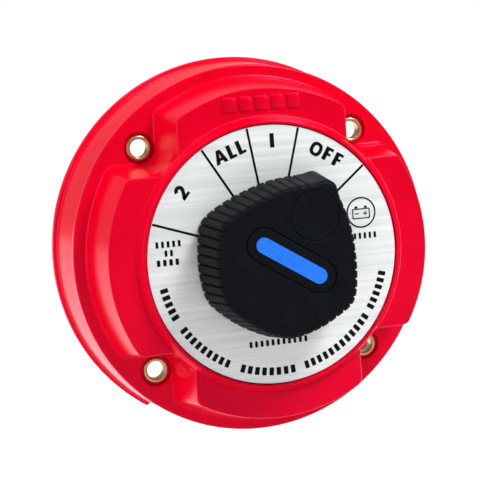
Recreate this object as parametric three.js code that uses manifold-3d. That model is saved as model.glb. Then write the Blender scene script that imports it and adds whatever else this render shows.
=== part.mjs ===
// A four-position battery selector switch for a boat: a red moulded case on a spacer skirt,
// a pointer knob over a round dial plate, and copper contacts that end in three rear studs.
//
// Millimetres. Each piece is drawn with the shaft along +Z, the bulkhead at z = 0 and the dial
// facing +Z, and angles run anticlockwise from +X as seen from the dial side. The group at the
// end stands the switch up as it hangs on a bulkhead: the dial faces -Y and +Z is up.
import * as THREE from 'three';
import { mergeVertices } from 'three/addons/utils/BufferGeometryUtils.js';
import Module from 'manifold-3d';

const wasm = await Module();
wasm.setup();

// ---------------------------------------------------------------- driving dimensions

// How far a cutting tool, or the root of a joined shape, runs past a face
const past = 1;

// Clearances
const seatGap = 0.3; // between two faces that rest on each other
const runGap = 0.2; // round a piece that turns in another
const holeGap = 0.3; // round a shank or a spigot in its hole
const stopGap = 0.6; // degrees between the rotor's ear and its stop at the end of travel

// Case
const flangeRadius = 63.9;
const flangeThickness = 3;
const flangeEdge = 1.2; // bevel of the flange's front edge
const padHeight = 19.9; // of the four raised pads above the flange
const padSetback = 4.4; // from the flange's edge to the foot of the pads
const padDraft = 3.5; // how far the outer wall of a pad leans in
const padDepth = 9.6; // radial width of a pad's flat top
const padHalfWidth = 29.5; // at the top of a pad
const padEndDraft = 3.2; // how far the end wall of a pad leans in
const padWall = 2.5;
const domeDraft = 1.6; // lean of the round wall that shows between the pads
const rimHeight = 2.5; // of the dial rim above the pads
const rimWidth = 2.5;
const rimDraft = 1.4;
const deckThickness = 3; // of the wall under the dial plate
const wellWall = 3; // from the rim's foot in to the well that takes the base plate
const wellSkin = 2.6; // thickness of the well's wall behind the flange
const ledgeWidth = 2.4; // of the step that the gasket seats on
const spigotDepth = 2.4; // of the ring behind the flange that centres the skirt
const spigotWall = 2;

// Spacer skirt
const skirtHeight = 22.4;
const skirtWall = 2.5;
const skirtInset = 0.2; // of the skirt's top edge inside the flange's edge
const skirtDraft = 1.5; // how much wider the skirt is at its foot
const skirtLip = 1.5; // how far the lip stands out of the skirt's foot
const skirtLipHeight = 3.2;
const skirtLipSlope = 1;
const cableGap = 68; // degrees of the skirt that are open at the bottom

// Mounting eyelets
const eyeletInset = 9.75; // from the flange's edge in to the eyelet centres
const eyeletBore = 3; // radius
const eyeletWall = 0.5;
const eyeletRim = 1.3; // width of the front rim
const eyeletRoll = 1.2; // width of the rolled rear end
const eyeletRollDepth = 0.8;
const eyeletProud = 0.05; // of the rim above the flange
const counterboreDepth = 1.2;
const counterboreMargin = 1.1;

// Dial plate
const plateThickness = 0.5;
const plateSunk = 0.4; // below the rim

// Selector positions, in degrees
const pointerAngle = 57; // of the knob at rest, on OFF
const clickAngles = [0, 29.8, 53, 84]; // of OFF, 1, ALL and 2, counted from OFF

// Shaft, bushing, seal and clip
const shaftRadius = 5;
const squareSide = 7; // of the driving squares
const squareGap = 0.2;
const pivotRadius = 3;
const pivotFloor = 2; // of base plate left under the pivot
const bushingWall = 1.8;
const bushingFlange = 3; // radial width
const bushingFlangeDepth = 2;
const bushingProud = 0.2; // of the bushing above the dial plate
const sealWire = 0.65; // radius
const sealGap = 0.15;
const clipThickness = 1;
const clipWidth = 2.7;
const clipGroove = 1;
const clipMouth = 5;
const clipLand = 1; // of shaft in front of the clip
const thrustThickness = 1;

// Detent
const detentThickness = 2.7;
const detentPinMargin = 0.4; // between the ball race and the pins' holes
const detentBore = 12; // radius
const raceRadius = 21;
const ballRadius = 3;
const ballRise = 1.3; // of a ball into the race
const ballSeat = 0.5; // of a ball's centre above the rotor's face
const dimpleDepth = 0.5; // of a click position below the race
const pinRadius = 1.5; // of the three pins that hold the detent plate
const detentMargin = 1; // of plate outside the pins' holes
const springWire = 0.4; // radius
const ballGap = 0.25; // round a ball or its spring in the rotor's pocket
const pocketBottom = 2; // of the rotor left under a pocket
const springTurns = 2.5;
const springGap = 0.5; // round a spring in its pocket

// Rotor
const rotorRadius = 28;
const rotorThickness = 8.5;
const hubRadius = 9.5;
const hubRise = 1.3;
const earReach = 3.8;
const earHalfAngle = 5;
const stopHalfAngle = 3;
const stopRadial = [1.5, 5.5]; // inner and outer radii of a stop, past the rotor's edge
const stopLift = 0.8; // of a stop's end above the rotor's rear face
const pegRadius = 1.8;
const pegInset = 1; // of the peg from the middle of the contact track

// Contacts and wiper
const contactThickness = 2;
const commonRing = [8, 12]; // inner and outer radii
const track = [14, 21.5]; // inner and outer radii of the two sector contacts
const wiperAngle = 33.25; // of the wiper's arm at rest
const wiperHalfAngle = 12;
const wiperHub = 12.5;
const sectorOne = [25, 50]; // degrees of travel over which the wiper's middle passes it
const sectorTwo = [57, 96];
const waveRing = [7.5, 11.5]; // inner and outer radii of the wave spring
const waveThickness = 0.5;
const waveHeight = 0.2;
const waveCount = 3;
const waveRoom = 1;

// Base plate, gasket and its screws
const baseThickness = 5.5;
const bossRadius = 4;
const bossOverlap = 1; // of a screw boss into the case's inner wall
const baseBossRadius = 6;
const gasketThickness = 1;
const screwRadius = 1.9;
const screwHeadRadius = 3.5;
const screwHeadHeight = 1.7;
const screwReach = 15.6; // of a screw past the seat of its head
const screwSunk = 0.2; // of a screw head below the base plate's rear face

// Terminals
const studCircle = 29;
const studAngles = { one: 30, two: 150, common: 270 };
const studRadius = 4.76;
const studHeadRadius = 6.5;
const studHeadHeight = 3;
const studProjection = 17.3; // behind the base plate
const studPoint = 0.8; // bevel at the end
const lugRadius = 7;
const linkRadial = [3.5, 3.5]; // of a contact's link inside and outside the stud circle
const nutAcrossFlats = 14.3;
const jamNutHeight = 5.5;
const terminalNutHeight = 5.6;
const nutGap = 0.24;
const lugGap = 2.1; // between the jam nut and the lock washer, where a lug goes
const washerWidth = 3;
const washerThickness = 2.2;
const washerSplit = 1.6;

// Knob: half its outline, from the pointer's nose round to the middle of the back
const knobHalfOutline = [
  [29.2, 0],
  [28.7, 2.1],
  [26.3, 4.6],
  [22.3, 9.9],
  [18, 14.6],
  [12, 19.4],
  [5.8, 23.4],
  [0.6, 25.8],
  [-3.6, 26.1],
  [-9.2, 23.6],
  [-14.3, 20.6],
  [-19.4, 16.4],
  [-22.9, 12],
  [-24.3, 6],
  [-24.7, 0],
];
const knobHeight = 18.5;
const knobLift = 0.5; // of the knob above the dial plate
const knobFlare = 1.07; // size of the knob's foot against its shoulder
const knobCrown = 0.93; // and of its flat top
const knobBevel = 2.2;
const knobWall = 0.86; // size of the hollow against the outline
const knobTopWall = 4.5;
const knobHubRadius = 8.5;
const knobHubLift = 2.3;
const ribCount = 52;
const ribDepth = 0.8;
const noseHalfAngle = 11; // degrees to each side of the pointer without ribs
const socketFloor = 5.4; // from the knob's top down to the end of the shaft's socket
const thumbCentre = 16.5;
const thumbRadius = 8;
const thumbDepth = 0.7;
const badgeLength = 33;
const badgeWidth = 11;
const badgeThickness = 0.9;
const knobScrewRadius = 1.6;
const knobScrewHead = 3.3;
const knobScrewHeadHeight = 1.8;
const knobScrewReach = 10.4;
const screwPointGap = 0.5; // between a knob screw's end and the bottom of its hole

// Facets of a full circle
const roundSteps = 64;
const mediumSteps = 32;
const smallSteps = 16;
const arcSteps = 8; // on each arc of a sector

// ---------------------------------------------------------------- levels and radii that follow

const flangeRear = skirtHeight + seatGap;
const flangeFront = flangeRear + flangeThickness;
const padTop = flangeFront + padHeight;
const rimTop = padTop + rimHeight;
const plateFront = rimTop - plateSunk;
const plateRear = plateFront - plateThickness;
const deckFront = plateRear - seatGap;
const deckRear = deckFront - deckThickness;

const padFootRadius = flangeRadius - padSetback;
const padTopRadius = padFootRadius - padDraft;
const domeTopRadius = padTopRadius - padDepth;
const domeFootRadius = domeTopRadius + domeDraft;
const recessRadius = domeTopRadius - rimWidth;
const wellRadius = domeTopRadius - wellWall;
const wellOuterRadius = wellRadius + wellSkin;
const cavityRadius = wellRadius - ledgeWidth;
const skirtTopRadius = flangeRadius - skirtInset;
const skirtFootRadius = skirtTopRadius + skirtDraft;
const skirtBoreTop = skirtTopRadius - skirtWall;
const skirtBoreFoot = skirtFootRadius - skirtWall;

const detentFront = deckRear - seatGap;
const detentRear = detentFront - detentThickness;
const ballLevel = detentRear + ballRise - ballRadius;
const rotorFront = ballLevel - ballSeat;
const rotorRear = rotorFront - rotorThickness;
const hubFront = rotorFront + hubRise;
const bushingFlangeFront = deckRear - seatGap;
const bushingFlangeRear = bushingFlangeFront - bushingFlangeDepth;
const bushingBore = shaftRadius + runGap;
const bushingRadius = bushingBore + bushingWall;
const bushingTop = plateFront + bushingProud;
const waveLevel = rotorRear - seatGap - waveRoom / 2;
const wiperFront = rotorRear - seatGap - waveRoom - seatGap;
const wiperRear = wiperFront - contactThickness;
const contactFront = wiperRear - seatGap;
const contactRear = contactFront - contactThickness;
const baseFront = contactRear - seatGap;
const baseRear = baseFront - baseThickness;
const gasketRear = baseFront + seatGap;
const ledge = gasketRear + gasketThickness + seatGap;
const screwCircle = cavityRadius - bossRadius + bossOverlap;
const screwSeat = baseRear + screwSunk + screwHeadHeight;
const studHeadRear = contactFront + seatGap;
const jamNutFront = baseRear - seatGap;
const jamNutRear = jamNutFront - jamNutHeight;
const washerFront = jamNutRear - lugGap;
const washerRear = washerFront - washerThickness;
const terminalNutFront = washerRear - seatGap;
const studHole = studRadius + holeGap;
const clipRear = bushingTop + seatGap;
const sealMiddle = bushingBore - sealGap - sealWire;
const sealLevel = (deckFront + deckRear) / 2;

const knobFoot = plateFront + knobLift;
const knobTop = knobFoot + knobHeight;
const knobShoulder = knobTop - knobBevel;
const knobHollowTop = knobTop - knobTopWall;
const socketTop = knobTop - socketFloor;
const badgeRear = knobTop - badgeThickness;
const badgeFloor = badgeRear - seatGap;
const knobScrewTop = badgeFloor - seatGap;
const knobScrewSeat = knobScrewTop - knobScrewHeadHeight;
const shaftTop = socketTop - seatGap;

const diagonals = [45, 135, 225, 315];
const radians = THREE.MathUtils.degToRad;

// ---------------------------------------------------------------- shape helpers

// A closed three.js geometry as a manifold solid.
function solidOf(geometry) {
  const bare = geometry.clone();
  bare.deleteAttribute('normal');
  bare.deleteAttribute('uv');
  const merged = mergeVertices(bare, 1e-4);
  const index = merged.index.array;
  const triVerts = [];
  for (let i = 0; i < index.length; i += 3) {
    const [a, b, c] = [index[i], index[i + 1], index[i + 2]];
    if (a !== b && b !== c && c !== a) triVerts.push(a, b, c);
  }
  const vertProperties = merged.attributes.position.array;
  return new wasm.Manifold(
    new wasm.Mesh({ numProp: 3, vertProperties, triVerts: new Uint32Array(triVerts) }),
  );
}

// The solid back as a geometry, with flat faces.
function geometryOf(solid) {
  const mesh = solid.getMesh();
  const geometry = new THREE.BufferGeometry();
  geometry.setAttribute('position', new THREE.BufferAttribute(mesh.vertProperties, 3));
  geometry.setIndex(new THREE.BufferAttribute(mesh.triVerts, 1));
  const faceted = geometry.toNonIndexed();
  faceted.computeVertexNormals();
  return faceted;
}

const join = (solids) => solids.reduce((whole, next) => whole.add(next));
const cut = (solid, tools) => tools.reduce((rest, tool) => rest.subtract(tool), solid);

// Twice the signed area of a closed profile.
function profileTurn(profile) {
  return profile.reduce((sum, [r, z], i) => {
    const [nextR, nextZ] = profile[(i + 1) % profile.length];
    return sum + r * nextZ - nextR * z;
  }, 0);
}

// A closed [radius, height] profile turned round the shaft axis.
function turned(profile, steps = roundSteps) {
  const ordered = profileTurn(profile) > 0 ? profile : [...profile].reverse();
  const points = [...ordered, ordered[0]].map(([r, z]) => new THREE.Vector2(r, z));
  return solidOf(new THREE.LatheGeometry(points, steps).rotateX(Math.PI / 2));
}

function ring(inner, outer, low, high, steps = roundSteps) {
  return turned([[inner, low], [outer, low], [outer, high], [inner, high]], steps);
}

function rod(radius, low, high, steps = smallSteps, at = [0, 0]) {
  const geometry = new THREE.CylinderGeometry(radius, radius, high - low, steps)
    .rotateX(Math.PI / 2)
    .translate(at[0], at[1], (low + high) / 2);
  return solidOf(geometry);
}

function block(sizeX, sizeY, low, high, at = [0, 0]) {
  const geometry = new THREE.BoxGeometry(sizeX, sizeY, high - low)
    .translate(at[0], at[1], (low + high) / 2);
  return solidOf(geometry);
}

function extruded(shape, low, high, curveSegments = arcSteps) {
  const options = { depth: high - low, bevelEnabled: false, curveSegments };
  return new THREE.ExtrudeGeometry(shape, options).translate(0, 0, low);
}

// A sector of a ring, between two angles in degrees.
function sector(inner, outer, from, to, low, high) {
  const shape = new THREE.Shape();
  shape.absarc(0, 0, outer, radians(from), radians(to), false);
  shape.absarc(0, 0, inner, radians(to), radians(from), true);
  return solidOf(extruded(shape, low, high));
}

function ball(radius, at, steps = smallSteps) {
  const geometry = new THREE.SphereGeometry(radius, steps, steps / 2)
    .rotateX(Math.PI / 2)
    .translate(...at);
  return solidOf(geometry);
}

// Scales a geometry across the shaft axis, by one factor at its foot and another at its top.
function tapered(geometry, low, footScale, high, topScale) {
  const position = geometry.attributes.position;
  for (let i = 0; i < position.count; i += 1) {
    const share = (position.getZ(i) - low) / (high - low);
    const scale = THREE.MathUtils.lerp(footScale, topScale, share);
    position.setX(i, position.getX(i) * scale);
    position.setY(i, position.getY(i) * scale);
  }
  return geometry;
}

const polar = (radius, degrees) => [
  radius * Math.cos(radians(degrees)),
  radius * Math.sin(radians(degrees)),
];

// ---------------------------------------------------------------- materials

const finishes = {
  case: { color: '#d8102a', roughness: 0.3, metalness: 0 },
  knob: { color: '#15181b', roughness: 0.45, metalness: 0 },
  plate: { color: '#dfe4e4', roughness: 0.35, metalness: 0.6 },
  badge: { color: '#1f6fe0', roughness: 0.4, metalness: 0 },
  eyelet: { color: '#cdb27a', roughness: 0.3, metalness: 1 },
  base: { color: '#22201e', roughness: 0.6, metalness: 0 },
  copper: { color: '#b8683c', roughness: 0.35, metalness: 1 },
  stud: { color: '#c9a45a', roughness: 0.3, metalness: 1 },
  nut: { color: '#bfa162', roughness: 0.35, metalness: 1 },
  steel: { color: '#b9bcc0', roughness: 0.3, metalness: 1 },
  spring: { color: '#9a9ea3', roughness: 0.35, metalness: 1 },
  rubber: { color: '#1b1b1b', roughness: 0.85, metalness: 0 },
  bronze: { color: '#a9793f', roughness: 0.4, metalness: 1 },
  nylon: { color: '#e6e0cf', roughness: 0.55, metalness: 0 },
};

function piece(name, finish, solid) {
  const mesh = new THREE.Mesh(
    geometryOf(solid),
    new THREE.MeshStandardMaterial(finishes[finish]),
  );
  mesh.name = name;
  return mesh;
}

// ---------------------------------------------------------------- case and what is fixed to it

// The ring of pad and dome seen from the side, before the pockets are cut.
function caseShell() {
  const spigotOuter = skirtBoreTop - holeGap;
  const spigotInner = spigotOuter - spigotWall;
  return turned([
    [bushingRadius + holeGap, deckFront],
    [recessRadius, deckFront],
    [recessRadius, rimTop],
    [domeTopRadius - rimDraft, rimTop],
    [domeTopRadius, padTop],
    [padTopRadius, padTop],
    [padFootRadius, flangeFront],
    [flangeRadius - flangeEdge, flangeFront],
    [flangeRadius, flangeFront - flangeEdge],
    [flangeRadius, flangeRear],
    [spigotOuter, flangeRear],
    [spigotOuter, flangeRear - spigotDepth],
    [spigotInner, flangeRear - spigotDepth],
    [spigotInner, flangeRear],
    [wellOuterRadius, flangeRear],
    [wellOuterRadius, baseRear],
    [wellRadius, baseRear],
    [wellRadius, ledge],
    [cavityRadius, ledge],
    [cavityRadius, deckRear],
    [bushingRadius + holeGap, deckRear],
  ]);
}

// The four corner pockets between the pads, down to the flange, outside the round dome wall.
function cornerPockets() {
  const high = rimTop + past;
  const lean = padEndDraft / padHeight;
  const centre = flangeRadius;
  const footHalf = centre - padHalfWidth - padEndDraft;
  const topHalf = footHalf + lean * (high - flangeFront);
  const frustum = new THREE.CylinderGeometry(
    topHalf * Math.SQRT2,
    footHalf * Math.SQRT2,
    high - flangeFront,
    4,
    1,
    false,
    Math.PI / 4,
  );
  frustum.rotateX(Math.PI / 2);
  const dome = turned([
    [0, flangeFront - past],
    [domeFootRadius, flangeFront - past],
    [domeFootRadius, flangeFront],
    [domeTopRadius, padTop],
    [domeTopRadius, high + past],
    [0, high + past],
  ]);
  const corners = diagonals.map((degrees) => {
    const [x, y] = polar(centre * Math.SQRT2, degrees);
    return solidOf(frustum.clone().translate(x, y, (flangeFront + high) / 2));
  });
  return join(corners).subtract(dome);
}

// The cored-out insides of the pads, open to the rear.
function padCores() {
  const low = flangeRear - past;
  const high = padTop - padWall;
  const core = turned([
    [wellOuterRadius, low],
    [padFootRadius - padWall, low],
    [padTopRadius - padWall, high],
    [wellOuterRadius, high],
  ]);
  const width = 2 * (padHalfWidth - padWall);
  const reach = 2 * flangeRadius;
  const cross = block(width, reach, low, high).add(block(reach, width, low, high));
  return core.intersect(cross);
}

function eyeletSeat(degrees) {
  const at = polar(flangeRadius - eyeletInset, degrees);
  const through = eyeletBore + eyeletWall + holeGap;
  const counterbore = eyeletBore + eyeletRim + counterboreMargin;
  return [
    rod(through, flangeRear - past, flangeFront + past, smallSteps, at),
    rod(counterbore, flangeFront - counterboreDepth, flangeFront + past, smallSteps, at),
  ];
}

// The two ribs that the rotor's ear runs between.
function stopRibs() {
  const earAngle = wiperAngle + 180;
  const offset = earHalfAngle + stopHalfAngle + stopGap;
  const travel = clickAngles.at(-1);
  return [earAngle - offset, earAngle + travel + offset].map((middle) =>
    sector(
      rotorRadius + stopRadial[0],
      rotorRadius + stopRadial[1],
      middle - stopHalfAngle,
      middle + stopHalfAngle,
      rotorRear + stopLift,
      deckRear + past,
    ),
  );
}

const detentPinAngles = [30, 150, 270];
const detentPinCircle =
  raceRadius + ballRadius + runGap + detentPinMargin + holeGap + pinRadius;

function detentPins(radius, low, high) {
  return detentPinAngles.map((degrees) =>
    rod(radius, low, high, smallSteps, polar(detentPinCircle, degrees)),
  );
}

function housing() {
  const bosses = diagonals.map((degrees) =>
    rod(bossRadius, ledge, deckRear + past, smallSteps, polar(screwCircle, degrees)),
  );
  const screwHoles = diagonals.map((degrees) =>
    rod(
      screwRadius + holeGap,
      ledge - past,
      screwSeat + screwReach + past,
      smallSteps,
      polar(screwCircle, degrees),
    ),
  );
  const body = join([
    cut(caseShell(), [cornerPockets(), padCores()]),
    ...bosses,
    ...stopRibs(),
    ...detentPins(pinRadius, detentRear + seatGap, deckRear + past),
  ]);
  return piece('housing', 'case', cut(body, [...screwHoles, ...diagonals.flatMap(eyeletSeat)]));
}

function mountingSkirt() {
  const whole = turned([
    [skirtBoreFoot, 0],
    [skirtFootRadius + skirtLip, 0],
    [skirtFootRadius + skirtLip, skirtLipHeight],
    [skirtFootRadius, skirtLipHeight + skirtLipSlope],
    [skirtTopRadius, skirtHeight],
    [skirtBoreTop, skirtHeight],
  ]);
  const gap = sector(
    skirtBoreTop / 2,
    2 * flangeRadius,
    270 - cableGap / 2,
    270 + cableGap / 2,
    -past,
    skirtHeight + past,
  );
  return piece('mounting_skirt', 'case', whole.subtract(gap));
}

function eyelet(name, degrees) {
  const seat = flangeFront - counterboreDepth + seatGap;
  const top = flangeFront + eyeletProud;
  const rollFront = flangeRear - seatGap;
  const rollRear = rollFront - eyeletRollDepth;
  const tubeRadius = eyeletBore + eyeletWall;
  const solid = turned(
    [
      [eyeletBore, rollRear],
      [eyeletBore + eyeletRoll, rollRear],
      [eyeletBore + eyeletRoll, rollFront],
      [tubeRadius, rollFront],
      [tubeRadius, seat],
      [eyeletBore + eyeletRim, seat],
      [eyeletBore + eyeletRim, top],
      [eyeletBore, top],
    ],
    smallSteps,
  );
  const mesh = piece(name, 'eyelet', solid);
  mesh.position.set(...polar(flangeRadius - eyeletInset, degrees), 0);
  return mesh;
}

function dialPlate() {
  const solid = ring(bushingRadius + holeGap, recessRadius - seatGap, plateRear, plateFront);
  return piece('dial_plate', 'plate', solid);
}

function shaftBushing() {
  const solid = turned(
    [
      [bushingBore, bushingFlangeRear],
      [bushingRadius + bushingFlange, bushingFlangeRear],
      [bushingRadius + bushingFlange, bushingFlangeFront],
      [bushingRadius, bushingFlangeFront],
      [bushingRadius, bushingTop],
      [bushingBore, bushingTop],
    ],
    mediumSteps,
  );
  return piece('shaft_bushing', 'bronze', solid);
}

// Angles of the two balls, opposite each other, a quarter turn from the wiper's arm.
const ballAngles = [wiperAngle + 90, wiperAngle + 270];

function detentPlate() {
  const outer = Math.min(
    detentPinCircle + pinRadius + holeGap + detentMargin,
    rotorRadius + stopRadial[0] - holeGap,
  );
  const disc = ring(detentBore, outer, detentRear, detentFront, roundSteps);
  const groove = new THREE.TorusGeometry(raceRadius, ballRadius + runGap, smallSteps, roundSteps)
    .rotateZ(Math.PI / roundSteps)
    .translate(0, 0, ballLevel);
  const dimples = ballAngles.flatMap((start) =>
    clickAngles.map((click) => {
      const at = [...polar(raceRadius, start + click), ballLevel + dimpleDepth];
      return ball(ballRadius + runGap, at, smallSteps - 4);
    }),
  );
  const holes = detentPins(pinRadius + holeGap, detentRear - past, detentFront + past);
  return piece('detent_plate', 'steel', cut(disc, [solidOf(groove), ...dimples, ...holes]));
}

function baseGasket() {
  const inner = cavityRadius + holeGap;
  const outer = wellRadius - holeGap;
  return piece('base_gasket', 'rubber', ring(inner, outer, gasketRear, gasketRear + gasketThickness));
}

function basePlate() {
  const disc = rod(wellRadius - holeGap, baseRear, baseFront, roundSteps);
  const boss = rod(baseBossRadius, baseFront - past, contactFront, mediumSteps);
  const pivotBore = rod(pivotRadius + holeGap, baseRear + pivotFloor, contactFront + past);
  const studHoles = Object.values(studAngles).map((degrees) =>
    rod(studHole, baseRear - past, baseFront + past, smallSteps, polar(studCircle, degrees)),
  );
  const screwHoles = diagonals.flatMap((degrees) => {
    const at = polar(screwCircle, degrees);
    const seat = screwSeat + seatGap;
    return [
      rod(screwRadius + holeGap, baseRear - past, baseFront + past, smallSteps, at),
      rod(screwHeadRadius + holeGap, baseRear - past, seat, smallSteps, at),
    ];
  });
  return piece('base_plate', 'base', cut(disc.add(boss), [pivotBore, ...studHoles, ...screwHoles]));
}

function baseScrew(name, degrees) {
  const rear = baseRear + screwSunk;
  const head = rod(screwHeadRadius, rear, screwSeat);
  const shank = rod(screwRadius, screwSeat - past, screwSeat + screwReach);
  const slotFloor = rear + screwHeadHeight / 2;
  const slot = block(2 * screwHeadRadius + past, screwHeadRadius / 4, rear - past, slotFloor);
  const mesh = piece(name, 'steel', head.add(shank).subtract(slot));
  mesh.position.set(...polar(screwCircle, degrees), 0);
  mesh.rotation.z = radians(degrees);
  return mesh;
}

// ---------------------------------------------------------------- contacts and terminals

function studHoleAt(degrees) {
  return rod(studHole, contactRear - past, contactFront + past, smallSteps, polar(studCircle, degrees));
}

function lugAt(degrees) {
  return rod(lugRadius, contactRear, contactFront, mediumSteps, polar(studCircle, degrees));
}

// A sector that the wiper lands on, with a link outside the wiper's reach to its stud.
function sectorContact(name, travel, studAngle) {
  const from = wiperAngle + travel[0];
  const to = wiperAngle + travel[1];
  const inner = studCircle - linkRadial[0];
  const outer = studCircle + linkRadial[1];
  const linkFrom = Math.min(from, studAngle);
  const linkTo = Math.max(to, studAngle);
  const solid = join([
    sector(track[0], outer, from, to, contactRear, contactFront),
    sector(inner, outer, linkFrom, linkTo, contactRear, contactFront),
    lugAt(studAngle),
  ]);
  return piece(name, 'copper', solid.subtract(studHoleAt(studAngle)));
}

function commonContact() {
  const middle = (commonRing[0] + commonRing[1]) / 2;
  const width = linkRadial[0] + linkRadial[1];
  const tail = block(width, studCircle - middle, contactRear, contactFront, [
    0,
    -(studCircle + middle) / 2,
  ]);
  const solid = join([
    ring(commonRing[0], commonRing[1], contactRear, contactFront, mediumSteps),
    tail,
    lugAt(studAngles.common),
  ]);
  return piece('contact_common', 'copper', solid.subtract(studHoleAt(studAngles.common)));
}

function stud() {
  const end = baseRear - studProjection;
  return turned(
    [
      [0, end],
      [studRadius - studPoint, end],
      [studRadius, end + studPoint],
      [studRadius, studHeadRear],
      [studHeadRadius, studHeadRear],
      [studHeadRadius, studHeadRear + studHeadHeight],
      [0, studHeadRear + studHeadHeight],
    ],
    smallSteps,
  );
}

function nut(rear, front) {
  const hexagon = rod(nutAcrossFlats / Math.sqrt(3), rear, front, 6);
  return hexagon.subtract(rod(studRadius + nutGap, rear - past, front + past));
}

function lockWasher() {
  const inner = studRadius + holeGap;
  const body = ring(inner, inner + washerWidth, washerRear, washerFront, mediumSteps);
  const reach = inner + washerWidth + past;
  const split = block(reach, washerSplit, washerRear - past, washerFront + past, [reach / 2, 0]);
  return body.subtract(split);
}

// The four pieces on one terminal, placed round the stud circle.
function terminal(label) {
  const degrees = studAngles[label];
  const pieces = [
    piece(`stud_${label}`, 'stud', stud()),
    piece(`jam_nut_${label}`, 'nut', nut(jamNutRear, jamNutFront)),
    piece(`lock_washer_${label}`, 'steel', lockWasher()),
    piece(`terminal_nut_${label}`, 'nut', nut(terminalNutFront - terminalNutHeight, terminalNutFront)),
  ];
  pieces.forEach((mesh) => {
    mesh.position.set(...polar(studCircle, degrees), 0);
    mesh.rotation.z = radians(degrees);
  });
  return pieces;
}

// ---------------------------------------------------------------- knob, drawn with its pointer along +X

// The knob's whole outline as a smooth closed curve.
function knobCurve() {
  const half = knobHalfOutline.map(([x, y]) => new THREE.Vector3(x, y, 0));
  const otherHalf = knobHalfOutline.slice(1, -1).reverse();
  const points = [...half, ...otherHalf.map(([x, y]) => new THREE.Vector3(x, -y, 0))];
  return new THREE.CatmullRomCurve3(points, true, 'centripetal');
}

// The outline with a narrow groove between each two ribs, and none across the nose.
function ribbedOutline() {
  const curve = knobCurve();
  const steps = [
    [0, 0],
    [0.72, 0],
    [0.8, ribDepth],
    [0.92, ribDepth],
  ];
  const points = [];
  for (let rib = 0; rib < ribCount; rib += 1) {
    steps.forEach(([share, depth]) => {
      const at = (rib + share) / ribCount;
      const point = curve.getPointAt(at);
      const tangent = curve.getTangentAt(at);
      const bearing = Math.abs(Math.atan2(point.y, point.x));
      const sunk = bearing > radians(noseHalfAngle) ? depth : 0;
      points.push(new THREE.Vector2(point.x - tangent.y * sunk, point.y + tangent.x * sunk));
    });
  }
  return new THREE.Shape(points);
}

function smoothOutline(count = roundSteps) {
  const points = knobCurve().getSpacedPoints(count).slice(0, count);
  return new THREE.Shape(points.map((point) => new THREE.Vector2(point.x, point.y)));
}

function badgeSolid(length, width, low, high) {
  const shape = new THREE.Shape();
  const straight = (length - width) / 2;
  shape.absarc(0, straight, width / 2, 0, Math.PI, false);
  shape.absarc(0, -straight, width / 2, Math.PI, 2 * Math.PI, false);
  return solidOf(extruded(shape, low, high, 12));
}

// The shallow round dish behind the nose, deepest in its middle.
function thumbDimple() {
  const shares = [0, 0.4, 0.75, 1];
  const dish = shares.map((share) => [
    thumbRadius * share,
    knobTop - thumbDepth * (1 - share ** 2),
  ]);
  const above = [[thumbRadius, knobTop + past], [0, knobTop + past]];
  return turned([...dish, ...above], mediumSteps).translate([thumbCentre, 0, 0]);
}

function knob() {
  const grip = tapered(
    extruded(ribbedOutline(), knobFoot, knobShoulder),
    knobFoot,
    knobFlare,
    knobShoulder,
    1,
  );
  const crownFoot = (knobCrown + 1) / 2 + ribDepth / knobHalfOutline[0][0];
  const crown = tapered(
    extruded(smoothOutline(), knobShoulder - past / 2, knobTop),
    knobShoulder - past / 2,
    crownFoot,
    knobTop,
    knobCrown,
  );
  const hollow = tapered(
    extruded(smoothOutline(mediumSteps), knobFoot - past, knobHollowTop),
    knobFoot,
    knobWall * knobFlare,
    knobHollowTop,
    knobWall,
  );
  const hub = rod(knobHubRadius, knobFoot + knobHubLift, knobHollowTop + past, mediumSteps);
  const socketSide = squareSide + 2 * squareGap;
  const tools = [
    block(socketSide, socketSide, knobFoot, socketTop),
    rod(knobScrewRadius + holeGap, socketTop - past, knobTop + past),
    rod(knobScrewHead + holeGap, knobScrewSeat - seatGap, knobTop + past),
    badgeSolid(badgeLength + 2 * holeGap, badgeWidth + 2 * holeGap, badgeFloor, knobTop + past),
    thumbDimple(),
  ];
  const shell = join([solidOf(grip), solidOf(crown)]).subtract(solidOf(hollow)).add(hub);
  return piece('knob', 'knob', cut(shell, tools));
}

function knobBadge() {
  return piece('knob_badge', 'badge', badgeSolid(badgeLength, badgeWidth, badgeRear, knobTop));
}

function knobScrew() {
  const head = rod(knobScrewHead, knobScrewSeat, knobScrewTop);
  const shank = rod(knobScrewRadius, knobScrewSeat - knobScrewReach, knobScrewSeat + past / 2);
  const socket = rod(knobScrewHead / 2, knobScrewTop - knobScrewHeadHeight / 2, knobScrewTop + past, 6);
  return piece('knob_screw', 'steel', head.add(shank).subtract(socket));
}

// ---------------------------------------------------------------- what turns with the knob inside the case

function selectorShaft() {
  const pivot = rod(pivotRadius, baseRear + pivotFloor + seatGap, rotorRear + past);
  const square = block(squareSide, squareSide, rotorRear, shaftTop);
  const journalEnd = clipRear + clipThickness + seatGap + clipLand;
  const journal = rod(shaftRadius, hubFront + seatGap, journalEnd, mediumSteps);
  const sealHalf = sealWire + sealGap;
  const outside = shaftRadius + past;
  const tools = [
    ring(sealMiddle - sealHalf, outside, sealLevel - sealHalf, sealLevel + sealHalf, mediumSteps),
    ring(
      shaftRadius - clipGroove,
      outside,
      clipRear - sealGap,
      clipRear + clipThickness + sealGap,
      mediumSteps,
    ),
    rod(knobScrewRadius + holeGap, knobScrewSeat - knobScrewReach - screwPointGap, shaftTop + past),
  ];
  return piece('selector_shaft', 'steel', cut(join([pivot, square, journal]), tools));
}

function shaftSeal() {
  const geometry = new THREE.TorusGeometry(sealMiddle, sealWire, 8, mediumSteps)
    .translate(0, 0, sealLevel);
  return piece('shaft_seal', 'rubber', solidOf(geometry));
}

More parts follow.
